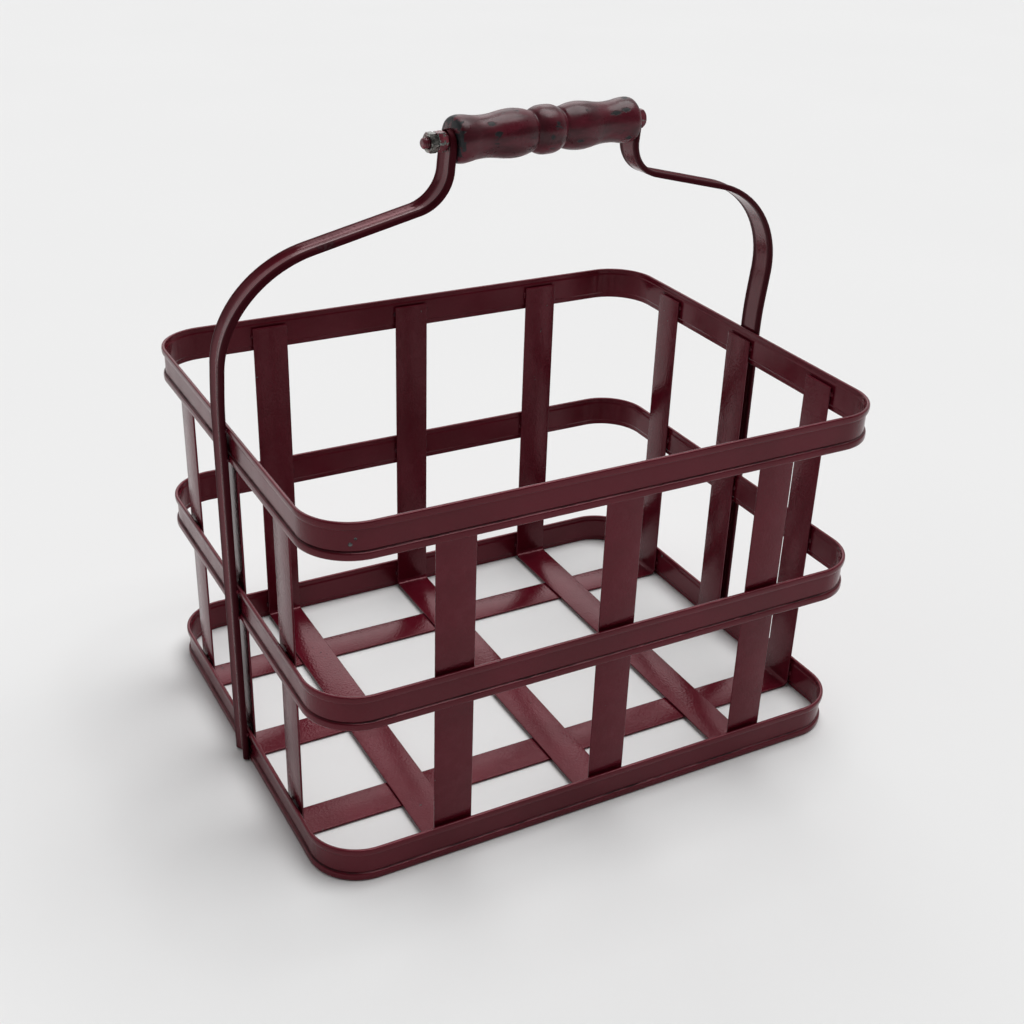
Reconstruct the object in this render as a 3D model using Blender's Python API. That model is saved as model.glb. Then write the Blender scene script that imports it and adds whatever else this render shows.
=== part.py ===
"""Egg collection basket: three rolled steel hoops on a cage of flat straps, with a bail of two bent arms and a
turned wooden grip. Lengths are in metres, +Z is up, X runs along the long side, and the floor is at Z = 0."""

import math
from collections import namedtuple

import bmesh
import bpy
from mathutils import Matrix, Vector

# Body, over the lips of the hoops
BODY_LENGTH = 0.300
BODY_WIDTH = 0.240
CORNER_RADIUS = 0.026
CORNER_STEPS = 9

# Rolled strip: flat lips along both edges, and a web set inward between them
SHEET = 0.001
LIP = 0.0032
STEP = 0.0009
HOOP_HEIGHT = 0.018
HOOP_RECESS = 0.0012
HOOP_BASES = {"bottom_hoop": 0.0, "middle_hoop": 0.086, "top_hoop": 0.172}

# Flat straps, each bent to a U under the basket
STRAP_WIDTH = 0.0196
STRAP_TOP = 0.1852
STRAP_BEND = 0.0035
BEND_STEPS = 5
FIT_GAP = 0.0003
CROSS_STRAP_FLOOR = 0.0017
LONG_STRAP_FLOOR = 0.0004
CROSS_STRAP_PLACES = {"left": -0.085, "centre": 0.0, "right": 0.085}
LONG_STRAP_PLACES = {"front": -0.069, "middle": 0.0, "rear": 0.069}

# Bail arms, of the same strip cut narrower. Corners are where the straights of the outer face would meet. The bail
# leans forward, the left arm further than the right, and stands a little to the right.
ARM_WIDTH = 0.0152
ARM_RECESS = 0.0018
ARM_DEPTH = SHEET + ARM_RECESS
ARM_FOOT = 0.0006
ARM_Y = -0.0027
ARM_STEP = 0.010
SHOULDER_RADIUS = 0.0563
NECK_RADIUS = 0.0170
Arm = namedtuple("Arm", "side lean shoulder_z neck_x neck_z")
ARMS = {
    "left_arm": Arm(side=-1, lean=0.195, shoulder_z=0.2624, neck_x=0.0479, neck_z=0.2887),
    "right_arm": Arm(side=1, lean=0.125, shoulder_z=0.2680, neck_x=0.0561, neck_z=0.2923),
}
LEAN_START = 0.200
LEAN_BLEND = 0.020
TWIST_START = 0.235
TWIST_END = 0.300
EYE_ROUND = 0.0076
EYE_ROUND_DROP = 0.0025
EYE_ANGLES = (0, 18, 34, 48, 60, 70, 78)

# Grip and its bolt
AXIS_Z = 0.3150
GRIP_GAP = 0.0004
GRIP_BORE = 0.0029
EYE_BORE = 0.0032
SHANK = 0.00245
HEX_ACROSS_FLATS = 0.0084
HEAD_HEIGHT = 0.0040
NUT_HEIGHT = 0.0047
LOCK_NUT_HEIGHT = 0.0037
NUT_BORE = 0.0026
BOLT_STUB = 0.0027
CHAMFER = 0.0008
ROUND_STEPS = 36
HEX_SIDE_STEPS = 4

PAINT = (0.085, 0.016, 0.024)
WOOD_PAINT = (0.110, 0.020, 0.028)
BRIGHT_PAINT = (0.200, 0.025, 0.035)
STEEL = (0.150, 0.145, 0.135)

UP = Vector((0, 0, 1))
ALONG = Vector((1, 0, 0))


def lean_at(z, lean):
    """How far an arm has swung forward at this height: nothing up to the bend, then in proportion."""
    above = z - LEAN_START + LEAN_BLEND / 2
    if above <= 0:
        return 0.0
    if above < LEAN_BLEND:
        return lean * above**2 / (2 * LEAN_BLEND)
    return lean * (above - LEAN_BLEND / 2)


def eye_of(arm):
    """Where the grip's axis meets the outer face of this arm."""
    return Vector((arm.side * arm.neck_x, ARM_Y - lean_at(AXIS_Z, arm.lean), AXIS_Z))


LEFT_EYE = eye_of(ARMS["left_arm"])
RIGHT_EYE = eye_of(ARMS["right_arm"])
GRIP_MIDDLE = (LEFT_EYE + RIGHT_EYE) / 2
HALF_SPAN = (RIGHT_EYE - LEFT_EYE).length / 2
TWIST = math.atan2(RIGHT_EYE.y - LEFT_EYE.y, RIGHT_EYE.x - LEFT_EYE.x)
GRIP_HALF = HALF_SPAN - ARM_DEPTH - GRIP_GAP


def material(name, colour, metallic, roughness):
    made = bpy.data.materials.new(name)
    made.use_nodes = True
    shader = made.node_tree.nodes["Principled BSDF"]
    shader.inputs["Base Color"].default_value = (*colour, 1)
    shader.inputs["Metallic"].default_value = metallic
    shader.inputs["Roughness"].default_value = roughness
    return made


def collection(name, hidden=False):
    made = bpy.data.collections.new(name)
    made.hide_render = hidden
    bpy.context.scene.collection.children.link(made)
    return made


def loft(name, rings, loop, origin, group, look=None):
    """A closed body through equal rings of points, in the body's own axes when it lies on the grip's axis. A loop
    joins the last ring to the first, and otherwise both ends are capped."""
    mesh = bmesh.new()
    made = [[mesh.verts.new(Vector(point) - origin) for point in ring] for ring in rings]
    pairs = list(zip(made, made[1:]))
    if loop:
        pairs.append((made[-1], made[0]))
    else:
        mesh.faces.new(made[0])
        mesh.faces.new(made[-1])
    for ring, following in pairs:
        for i in range(len(ring)):
            mesh.faces.new((ring[i - 1], ring[i], following[i], following[i - 1]))
    bmesh.ops.recalc_face_normals(mesh, faces=mesh.faces)
    data = bpy.data.meshes.new(name)
    mesh.to_mesh(data)
    mesh.free()
    if look:
        data.materials.append(look)
    body = bpy.data.objects.new(name, data)
    body.location = origin
    group.objects.link(body)
    return body


def strip_outline(width, recess):
    """Section of the rolled strip as (outward, across) pairs: the lips' outer faces are at 0, the web is set in."""
    outer = [
        (0, 0),
        (0, LIP),
        (-recess, LIP + STEP),
        (-recess, width - LIP - STEP),
        (0, width - LIP),
        (0, width),
    ]
    bend_shift = SHEET * math.tan(math.atan2(recess, STEP) / 2)
    shifts = (0, -bend_shift, -bend_shift, bend_shift, bend_shift, 0)
    inner = [(out - SHEET, across + shift) for (out, across), shift in zip(outer, shifts)]
    return outer + inner[::-1]


def filleted(points, radii, steps):
    """A line through points in a plane with its corners rounded, as (place, direction) pairs."""
    points = [Vector(point) for point in points]
    line = [(points[0], (points[1] - points[0]).normalized())]
    for before, corner, after, radius in zip(points, points[1:], points[2:], radii):
        inward = (corner - before).normalized()
        onward = (after - corner).normalized()
        turn = inward.angle_signed(onward)
        reach = radius * math.tan(abs(turn) / 2)
        start = corner - inward * reach
        side = Vector((-inward.y, inward.x)) * math.copysign(1, -turn)
        centre = start + side * radius
        for i in range(steps + 1):
            part = -turn * i / steps
            cos, sin = math.cos(part), math.sin(part)
            arm = start - centre
            place = centre + Vector((arm.x * cos - arm.y * sin, arm.x * sin + arm.y * cos))
            heading = Vector((inward.x * cos - inward.y * sin, inward.x * sin + inward.y * cos))
            line.append((place, heading))
    line.append((points[-1], line[-1][1]))
    return line


def spaced(line, most):
    """The same line with its long straights divided into equal pieces no longer than this."""
    out = [line[0]]
    for (start, heading), (end, turned) in zip(line, line[1:]):
        pieces = max(1, math.ceil((end - start).length / most))
        for i in range(1, pieces):
            out.append((start.lerp(end, i / pieces), heading))
        out.append((end, turned))
    return out


def hoop(name, base, group, look):
    outline = strip_outline(HOOP_HEIGHT, HOOP_RECESS)
    rings = []
    for quarter in range(4):
        sign_x = (1, -1, -1, 1)[quarter]
        sign_y = (1, 1, -1, -1)[quarter]
        centre = Vector(
            (sign_x * (BODY_LENGTH / 2 - CORNER_RADIUS), sign_y * (BODY_WIDTH / 2 - CORNER_RADIUS), base)
        )
        for i in range(CORNER_STEPS + 1):
            angle = math.pi / 2 * (quarter + i / CORNER_STEPS)
            outward = Vector((math.cos(angle), math.sin(angle), 0))
            rings.append([centre + outward * (CORNER_RADIUS + out) + UP * across for out, across in outline])
    return loft(name, rings, True, Vector((0, 0, base)), group, look)


def u_strap(name, along_x, place, floor, group, look):
    """A flat strap down one side, across under the basket and up the other, inside the webs of the hoops."""
    half = (BODY_LENGTH if along_x else BODY_WIDTH) / 2 - HOOP_RECESS - SHEET - FIT_GAP
    corners = [(-half, STRAP_TOP), (-half, floor), (half, floor), (half, STRAP_TOP)]
    rings = []
    for spot, heading in filleted(corners, (STRAP_BEND, STRAP_BEND), BEND_STEPS):
        inward = Vector((-heading.y, heading.x))
        ring = []
        for depth, across in ((0, -1), (0, 1), (SHEET, 1), (SHEET, -1)):
            point = spot + inward * depth
            offset = place + across * STRAP_WIDTH / 2
            ring.append((point.x, offset, point.y) if along_x else (offset, point.x, point.y))
        rings.append(ring)
    origin = Vector((0, place, floor)) if along_x else Vector((place, 0, floor))
    return loft(name, rings, False, origin, group, look)


def eye_taper():
    """Distance along the arm past the eye's rounding centre, and how much of the width is left there."""
    return [
        (EYE_ROUND * math.sin(math.radians(angle)), math.cos(math.radians(angle))) for angle in EYE_ANGLES
    ]


def bail_arm(name, arm, group, look):
    outline = strip_outline(ARM_WIDTH, ARM_RECESS)
    outer_x = BODY_LENGTH / 2 + FIT_GAP + ARM_DEPTH
    eye_z = AXIS_Z - EYE_ROUND_DROP
    corners = [(outer_x, ARM_FOOT), (outer_x, arm.shoulder_z), (arm.neck_x, arm.neck_z), (arm.neck_x, eye_z)]
    line = spaced(filleted(corners, (SHOULDER_RADIUS, NECK_RADIUS), 12), ARM_STEP)
    stations = [(spot, heading, 1.0) for spot, heading in line[:-1]]
    for past, width_left in eye_taper():
        stations.append((Vector((arm.neck_x, eye_z + past)), line[-1][1], width_left))
    rings = []
    for spot, heading, width_left in stations:
        ahead = lean_at(spot.y + ARM_STEP / 2, arm.lean)
        behind = lean_at(spot.y - ARM_STEP / 2, arm.lean)
        tangent = Vector((heading.x, -heading.y * (ahead - behind) / ARM_STEP, heading.y)).normalized()
        risen = min(1, max(0, (spot.y - TWIST_START) / (TWIST_END - TWIST_START)))
        turned = Matrix.Rotation(arm.side * TWIST * risen, 3, UP) @ Vector((heading.y, 0, -heading.x))
        across = tangent.cross(turned).normalized()
        outward = across.cross(tangent)
        centre = Vector((spot.x, ARM_Y - lean_at(spot.y, arm.lean), spot.y))
        ring = []
        for out, place in outline:
            point = centre + outward * out + across * (place - ARM_WIDTH / 2) * width_left
            ring.append((arm.side * point.x, point.y, point.z))
        rings.append(ring)
    return loft(name, rings, False, Vector((arm.side * outer_x, ARM_Y, 0)), group, look)


def round_ring(x, radius, steps=ROUND_STEPS):
    """A ring of points about the X axis."""
    angles = [2 * math.pi * i / steps for i in range(steps)]
    return [(x, radius * math.cos(angle), radius * math.sin(angle)) for angle in angles]


def hex_ring(x, across_flats):
    """A six-sided ring of points about the X axis, with as many points as a round one of the same loft."""
    side_angle = math.pi / 3
    points = []
    for i in range(6 * HEX_SIDE_STEPS):
        angle = 2 * math.pi * i / (6 * HEX_SIDE_STEPS)
        radius = across_flats / 2 / math.cos(angle % side_angle - side_angle / 2)
        points.append((x, radius * math.cos(angle), radius * math.sin(angle)))
    return points


def on_grip_axis(name, rings, loop, group, look=None):
    """A body whose own X axis is the axis of the grip."""
    body = loft(name, rings, loop, Vector(), group, look)
    body.location = GRIP_MIDDLE
    body.rotation_euler = (0, 0, TWIST)
    return body


def grip_profile():
    """Outline of the turned grip from its left end to its right, as (distance from the middle, radius) pairs."""
    half = GRIP_HALF
    left = [
        (half, 0.0088),
        (half - 0.0008, 0.0099),
        (half - 0.0024, 0.0105),
        (half - 0.0046, 0.01065),
        (half - 0.0075, 0.0103),
        (half - 0.0110, 0.0097),
        (0.0330, 0.00945),
        (0.0282, 0.0098),
        (0.0232, 0.0106),
        (0.0181, 0.0110),
        (0.0135, 0.0106),
        (0.0100, 0.0096),
        (0.0077, 0.0087),
        (0.0058, 0.0099),
        (0.0032, 0.0109),
        (0.0, 0.01115),
    ]
    return [(-x, radius) for x, radius in left] + [(x, radius) for x, radius in left[-2::-1]]


def turned_grip(group, look):
    rings = [round_ring(-GRIP_HALF, GRIP_BORE)]
    rings += [round_ring(x, radius) for x, radius in grip_profile()]
    rings.append(round_ring(GRIP_HALF, GRIP_BORE))
    return on_grip_axis("grip", rings, True, group, look)


def handle_bolt(tip_x, group, look):
    """The bolt lies along the grip's axis, its rounded hexagonal head outside the right arm."""
    steps = 6 * HEX_SIDE_STEPS
    under_head = HALF_SPAN + FIT_GAP
    top = under_head + HEAD_HEIGHT
    rings = [
        round_ring(top, HEX_ACROSS_FLATS * 0.22, steps),
        round_ring(top - CHAMFER * 0.4, HEX_ACROSS_FLATS * 0.38, steps),
        hex_ring(top - CHAMFER * 1.6, HEX_ACROSS_FLATS),
        hex_ring(under_head, HEX_ACROSS_FLATS),
        round_ring(under_head, SHANK, steps),
        round_ring(tip_x + CHAMFER, SHANK, steps),
        round_ring(tip_x, SHANK - CHAMFER, steps),
    ]
    return on_grip_axis("handle_bolt", rings, False, group, look)


def nut(name, inner_x, height, group, look):
    """A hexagonal nut on the bolt, from its face nearer the grip outward to the left."""
    steps = 6 * HEX_SIDE_STEPS
    outer_x = inner_x - height
    rings = [
        round_ring(inner_x, NUT_BORE, steps),
        round_ring(inner_x, HEX_ACROSS_FLATS / 2, steps),
        hex_ring(inner_x - CHAMFER, HEX_ACROSS_FLATS),
        hex_ring(outer_x + CHAMFER, HEX_ACROSS_FLATS),
        round_ring(outer_x, HEX_ACROSS_FLATS / 2, steps),
        round_ring(outer_x, NUT_BORE, steps),
    ]
    return on_grip_axis(name, rings, True, group, look)


def cut(body, cutter):
    modifier = body.modifiers.new("eye", "BOOLEAN")
    modifier.operation = "DIFFERENCE"
    modifier.solver = "EXACT"
    modifier.object = cutter


def main():
    for item in list(bpy.data.objects):
        bpy.data.objects.remove(item)
    basket = collection("egg_collection_basket")
    cutters = collection("cutters", hidden=True)
    hoop_paint = material("hoop_paint", PAINT, 0.0, 0.25)
    strap_paint = material("strap_paint", PAINT, 0.0, 0.30)
    arm_paint = material("arm_paint", PAINT, 0.0, 0.25)
    grip_paint = material("grip_paint", WOOD_PAINT, 0.0, 0.35)
    bolt_paint = material("bolt_paint", BRIGHT_PAINT, 0.0, 0.30)
    nut_paint = material("nut_paint", BRIGHT_PAINT, 0.0, 0.30)
    bare_steel = material("bare_steel", STEEL, 1.0, 0.35)

    for name, base in HOOP_BASES.items():
        hoop(name, base, basket, hoop_paint)
    for place, x in CROSS_STRAP_PLACES.items():
        u_strap(f"cross_strap_{place}", False, x, CROSS_STRAP_FLOOR, basket, strap_paint)
    for place, y in LONG_STRAP_PLACES.items():
        u_strap(f"long_strap_{place}", True, y, LONG_STRAP_FLOOR, basket, strap_paint)

    reach = HALF_SPAN + FIT_GAP
    bore = on_grip_axis("eye_bore", [round_ring(-reach, EYE_BORE), round_ring(reach, EYE_BORE)], False, cutters)
    bore.display_type = "WIRE"
    for name, arm in ARMS.items():
        cut(bail_arm(name, arm, basket, arm_paint), bore)

    turned_grip(basket, grip_paint)
    hex_inner = -HALF_SPAN - FIT_GAP
    lock_inner = hex_inner - NUT_HEIGHT - FIT_GAP
    nut("hex_nut", hex_inner, NUT_HEIGHT, basket, nut_paint)
    nut("lock_nut", lock_inner, LOCK_NUT_HEIGHT, basket, bare_steel)
    handle_bolt(lock_inner - LOCK_NUT_HEIGHT - BOLT_STUB, basket, bolt_paint)


main()
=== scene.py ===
"""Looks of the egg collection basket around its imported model.

Lengths are in metres and angles in degrees, unless a name ends in _mm."""

import math

import bmesh
import bpy
from mathutils import Matrix, Vector, noise


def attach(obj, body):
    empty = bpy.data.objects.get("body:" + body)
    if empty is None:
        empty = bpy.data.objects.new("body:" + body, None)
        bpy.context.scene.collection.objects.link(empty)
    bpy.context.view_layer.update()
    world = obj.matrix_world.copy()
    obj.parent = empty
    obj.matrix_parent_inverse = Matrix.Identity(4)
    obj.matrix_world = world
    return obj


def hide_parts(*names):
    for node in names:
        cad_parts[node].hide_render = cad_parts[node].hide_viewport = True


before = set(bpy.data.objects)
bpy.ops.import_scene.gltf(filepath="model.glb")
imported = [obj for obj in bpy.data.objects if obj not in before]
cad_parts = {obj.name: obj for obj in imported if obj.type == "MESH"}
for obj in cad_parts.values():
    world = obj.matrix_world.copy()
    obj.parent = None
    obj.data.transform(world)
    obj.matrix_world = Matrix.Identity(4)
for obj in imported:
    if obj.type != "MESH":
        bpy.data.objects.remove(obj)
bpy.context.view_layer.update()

# Body, over the lips of the hoops
BODY_LENGTH = 0.300
BODY_WIDTH = 0.240
CORNER_RADIUS = 0.026
SHEET = 0.001
LIP = 0.0032
STEP = 0.0009
HOOP_HEIGHT = 0.018
HOOP_RECESS = 0.0012
HOOP_BASES = {"bottom_hoop": 0.0, "middle_hoop": 0.086, "top_hoop": 0.172}

# Straps
STRAP_WIDTH = 0.0196
STRAP_TOP = 0.1852
STRAP_BEND = 0.0035
FIT_GAP = 0.0003
STRAP_GAP = 0.0010
CROSS_STRAP_FLOOR = 0.0017
LONG_STRAP_FLOOR = 0.0004
CROSS_STRAP_PLACES = {"left": -0.085, "centre": 0.0, "right": 0.085}
LONG_STRAP_PLACES = {"front": -0.069, "middle": 0.0, "rear": 0.069}

# Bail
ARM_WIDTH = 0.0152
ARM_RECESS = 0.0018
ARM_DEPTH = SHEET + ARM_RECESS
ARM_FOOT = 0.0006
ARM_Y = -0.0027
SHOULDER_RADIUS = 0.0563
NECK_RADIUS = 0.0170
# side, lean, shoulder corner height, neck distance from the middle, neck corner height
ARMS = {
    "left_arm": (-1, 0.195, 0.2624, 0.0479, 0.2887),
    "right_arm": (1, 0.125, 0.2680, 0.0561, 0.2923),
}
LEAN_START = 0.200
LEAN_BLEND = 0.020
TWIST_START = 0.235
TWIST_END = 0.300
EYE_ROUND = 0.0076
EYE_ROUND_DROP = 0.0025

# Grip and bolt
AXIS_Z = 0.3150
GRIP_GAP = 0.0004
GRIP_BORE = 0.0029
SHANK = 0.00245
HEX_ACROSS_FLATS = 0.0084
HEAD_HEIGHT = 0.0040
NUT_HEIGHT = 0.0047
LOCK_NUT_HEIGHT = 0.0037
NUT_BORE = 0.0026
BOLT_STUB = 0.0027
THREAD_PITCH = 0.0010
THREAD_DEPTH = 0.00022

# Finish
EDGE_ROUND = 0.00042
CREASE_HALF = 0.00028
HOOP_CROWN = 0.00020
HOOP_INNER_STEP = 0.0004
INNER_SHIFT = 0.0006
LOWER_CREASE = 0.00030
UPPER_CREASE = 0.00005
NECK_TAPER = 0.12
BEAD_HALF = 0.0021
BEAD_RISE = 0.0021
BEAD_FOOT = 0.0056
MM = 0.001

# Fineness of the meshes: steps of each part, and the longest gap between two rings
ARC_STEPS = 24
BEND_STEPS = 10
BEAD_STEPS = 9
WEB_STEPS = 10
EYE_STEPS = 13
EYE_ARC = 82
HEX_STEPS = 48
GRIP_STEPS = 96
PROFILE_STEPS = 5
THREAD_STEPS = 6
STATION = 0.004
LONG_STATION = STATION * 3

# Small clearances and roundings
EYE_CLEARANCE = 0.00025
BORE_BEVEL = 0.0006
NUT_CHAMFER = 0.00055
DENT = 0.00005
WELD_LENGTH = 0.0015
WELD_UNEVEN = 0.0006
WELD_WANDER = 0.0016
WELD_THICKNESS = (0.0007, 0.0008)
ARM_WELD = (0.0011, 0.0007, 0.0007)

# Room and light: strengths, and the reach of each in the components of a direction
ROOM_FRONT = 0.10
ROOM_BACK = 0.80
ROOM_REACH = (-0.7, 0.6)
ROOM_RISE = (0.55, 0.85)
BACKDROP = 0.845
ROOM_TOP = 0.25
BANK_FROM = (0.30, 0.78, 0.62)
BANK_SPREAD = 14
BANK_SOFT = 8
BANK_BRIGHT = 1.25
SOFTBOX_POWER = 2.28
SOFTBOX_SPREAD = 48
SOFTBOX_FROM = (0.30, 0.04, 1.0)

# Camera, from the straight and round edges of the hoops
CAMERA_AZIMUTH = -29.09
CAMERA_ELEVATION = 28.11
CAMERA_ROLL = 2.02
CAMERA_DISTANCE = 0.76111
CAMERA_SIDE = -0.00596
CAMERA_RISE = -0.01560
CAMERA_TARGET_Z = 0.090
FOCAL_TO_WIDTH = 1.372294921875
SENSOR = 36.0

UP = Vector((0, 0, 1))


def lean_at(z, lean):
    above = z - LEAN_START + LEAN_BLEND / 2
    if above <= 0:
        return 0.0
    if above < LEAN_BLEND:
        return lean * above**2 / (2 * LEAN_BLEND)
    return lean * (above - LEAN_BLEND / 2)


def eye_of(arm):
    side, lean, _, neck_x, _ = arm
    return Vector((side * neck_x, ARM_Y - lean_at(AXIS_Z, lean), AXIS_Z))


LEFT_EYE = eye_of(ARMS["left_arm"])
RIGHT_EYE = eye_of(ARMS["right_arm"])
GRIP_MIDDLE = (LEFT_EYE + RIGHT_EYE) / 2
HALF_SPAN = (RIGHT_EYE - LEFT_EYE).length / 2
TWIST = math.atan2(RIGHT_EYE.y - LEFT_EYE.y, RIGHT_EYE.x - LEFT_EYE.x)
GRIP_HALF = HALF_SPAN - ARM_DEPTH - GRIP_GAP


# ---------------------------------------------------------------- materials


def clamp(value):
    return min(1.0, max(0.0, value))


class Nodes:
    """Short names for building one material's node tree."""

    def __init__(self, name):
        self.material = bpy.data.materials.new(name)
        self.material.use_nodes = True
        self.tree = self.material.node_tree
        self.shader = self.tree.nodes["Principled BSDF"]
        self.place = self.tree.nodes.new("ShaderNodeTexCoord").outputs["Object"]

    def link(self, out, socket):
        self.tree.links.new(out, socket)

    def feed(self, socket, value):
        if isinstance(value, bpy.types.NodeSocket):
            self.link(value, socket)
        else:
            socket.default_value = value

    def mapped(self, scale, offset=(0, 0, 0)):
        node = self.tree.nodes.new("ShaderNodeMapping")
        node.inputs["Scale"].default_value = scale
        node.inputs["Location"].default_value = offset
        self.link(self.place, node.inputs["Vector"])
        return node.outputs["Vector"]

    def noise(self, scale, detail=2.0, rough=0.5, vector=None, distortion=0.0):
        node = self.tree.nodes.new("ShaderNodeTexNoise")
        node.inputs["Scale"].default_value = scale
        node.inputs["Detail"].default_value = detail
        node.inputs["Roughness"].default_value = rough
        node.inputs["Distortion"].default_value = distortion
        self.link(vector or self.place, node.inputs["Vector"])
        return node.outputs["Fac"]

    def maths(self, operation, first, second=0.0):
        node = self.tree.nodes.new("ShaderNodeMath")
        node.operation = operation
        self.feed(node.inputs[0], first)
        self.feed(node.inputs[1], second)
        return node.outputs[0]

    def ramp(self, value, low, high, out_low=0.0, out_high=1.0):
        node = self.tree.nodes.new("ShaderNodeMapRange")
        node.interpolation_type = "SMOOTHSTEP"
        self.feed(node.inputs["Value"], value)
        node.inputs["From Min"].default_value = low
        node.inputs["From Max"].default_value = high
        node.inputs["To Min"].default_value = out_low
        node.inputs["To Max"].default_value = out_high
        return node.outputs["Result"]

    def mix(self, factor, first, second):
        node = self.tree.nodes.new("ShaderNodeMix")
        node.data_type = "RGBA"
        self.feed(node.inputs["Factor"], factor)
        colour_inputs = [i for i in node.inputs if i.type == "RGBA"]
        for socket, value in zip(colour_inputs, (first, second)):
            self.feed(socket, (*value, 1) if isinstance(value, tuple) else value)
        return [o for o in node.outputs if o.type == "RGBA"][0]

    def near(self, spots, ragged=0.6):
        """One where the surface is within reach of a spot, given as (point, radius, stretch along X)."""
        total = 0.0
        for point, radius, stretch in spots:
            node = self.tree.nodes.new("ShaderNodeVectorMath")
            node.operation = "DISTANCE"
            scale = (1 / stretch, 1, 1)
            self.link(self.mapped(scale), node.inputs[0])
            node.inputs[1].default_value = (point[0] / stretch, point[1], point[2])
            rough = self.maths("MULTIPLY", self.noise(1.6 / radius, 4, 0.7), radius * ragged)
            away = self.maths("ADD", node.outputs["Value"], rough)
            mask = self.ramp(away, radius, radius * 1.25, 1.0, 0.0)
            total = self.maths("MAXIMUM", mask, total)
        return total

    def attribute(self, name):
        node = self.tree.nodes.new("ShaderNodeAttribute")
        node.attribute_name = name
        return node.outputs["Fac"]

    def bump(self, height, distance, strength=1.0, under=None):
        node = self.tree.nodes.new("ShaderNodeBump")
        node.inputs["Distance"].default_value = distance
        node.inputs["Strength"].default_value = strength
        self.link(height, node.inputs["Height"])
        if under:
            self.link(under, node.inputs["Normal"])
        return node.outputs["Normal"]

    def finish(self, colour, roughness, normal, metallic=None):
        self.feed(self.shader.inputs["Base Color"], colour)
        self.feed(self.shader.inputs["Roughness"], roughness)
        self.feed(self.shader.inputs["Normal"], normal)
        if metallic is not None:
            self.feed(self.shader.inputs["Metallic"], metallic)
        return self.material


PAINT = (0.118, 0.0070, 0.0165)
PAINT_DEEP = (0.098, 0.0052, 0.0125)
PAINT_DUSTY = (0.165, 0.030, 0.046)
PAINT_METALLIC = 0.18
PAINT_SPECULAR = 0.25
# Painted dark reflection on the arms' edge beads.
PAINTED_DARK_REFLECTION = (0.040, 0.0036, 0.0070)
# Painted shade: the dark line along the hoops' crease stands in for the shade there.
CREASE_SHADE = (0.016, 0.0045, 0.0055)
CHIP_DARK = (0.020, 0.021, 0.022)
CHIP_GREY = (0.150, 0.165, 0.165)
WELD_DEEP = (0.045, 0.006, 0.011)
SHINE = (0.15, 0.27)
SMOOTH_SHINE = (0.11, 0.20)
ARM_SHINE = (0.12, 0.20)

GRIP_RED = (0.100, 0.0095, 0.0190)
GRIP_DEEP = (0.050, 0.0046, 0.0095)
GRIP_DUSTY = (0.170, 0.050, 0.068)
GRIP_SPECULAR = 0.32
UNDERCOAT = (0.007, 0.008, 0.010)
UNDERCOAT_LIGHT = (0.018, 0.020, 0.024)

NUT_RED = (0.200, 0.026, 0.040)
NUT_DEEP = (0.110, 0.014, 0.024)
NUT_CHIP = (0.330, 0.350, 0.330)
NUT_CHIP_DARK = (0.05, 0.06, 0.055)
ZINC_DARK = (0.045, 0.046, 0.040)
ZINC_LIGHT = (0.420, 0.410, 0.380)
ZINC_STAIN = (0.120, 0.018, 0.024)

FLOOR_TONES = ((0.80, 0.80, 0.80), (0.82, 0.82, 0.82))

# Rubbed patches and chips: point, radius, stretch along X. Those of the grip are from its own middle.
GRIP_PATCHES = (
    ((-0.0322, -0.0066, 0.0068), 0.0021, 1.8),
    ((-0.0300, -0.0092, 0.0028), 0.0024, 1.5),
    ((-0.0022, -0.0108, -0.0010), 0.0019, 1.0),
    ((0.0010, -0.0100, 0.0045), 0.0017, 1.0),
    ((0.0345, -0.0078, 0.0058), 0.0019, 3.0),
    ((0.0405, -0.0076, 0.0066), 0.0019, 2.4),
    ((0.0425, -0.0081, -0.0062), 0.0022, 1.2),
    ((0.0440, -0.0010, 0.0104), 0.0024, 1.2),
    ((0.0140, -0.0098, -0.0048), 0.0014, 2.4),
)
ARM_CHIPS = (
    ((-0.1042, -0.0232, 0.2738), 0.0024, 2.4),
    ((-0.1180, -0.0120, 0.2665), 0.0008, 1.5),
)
HOOP_CHIPS = (
    ((-0.1336, -0.1169, 0.1795), 0.0011, 1.0),
    ((-0.1315, -0.1175, 0.1820), 0.0008, 1.0),
    ((0.1482, 0.0552, 0.0155), 0.0010, 1.0),
)
# Scales of the steel's patterns: the larger, the finer
TONE_SCALE = 22
DUST_SCALE = 600
WEAR_SCALE = 160
FLECK_SCALE = 420
CHIPPED_AREA_SCALE = 30
METAL_SCALE = 900
GLOSS_SCALE = 60
# The next two set the wander and breaks of the painted crease shade.
CREASE_SHADE_SCALE = 240
CREASE_SHADE_BREAK_SCALE = 34
WAVE_SCALE = 46
PEEL_SCALE = 760

# Depths of the steel's relief
WAVE_DEPTH = 0.00040
PEEL_DEPTH = 0.00010
CHIP_DEPTH = 0.00015

# Scales and depths for the wood
WOOD_ALONG = (1.0, 3.2, 3.2)
GRAIN_ALONG = (0.12, 1, 1)
STREAK_SCALE = 85
GRAIN_SCALE = 420
GRAIN_DEPTH = 0.00012
WOOD_SKIN_DEPTH = 0.00006
RUB_DEPTH = 0.00010


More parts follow.
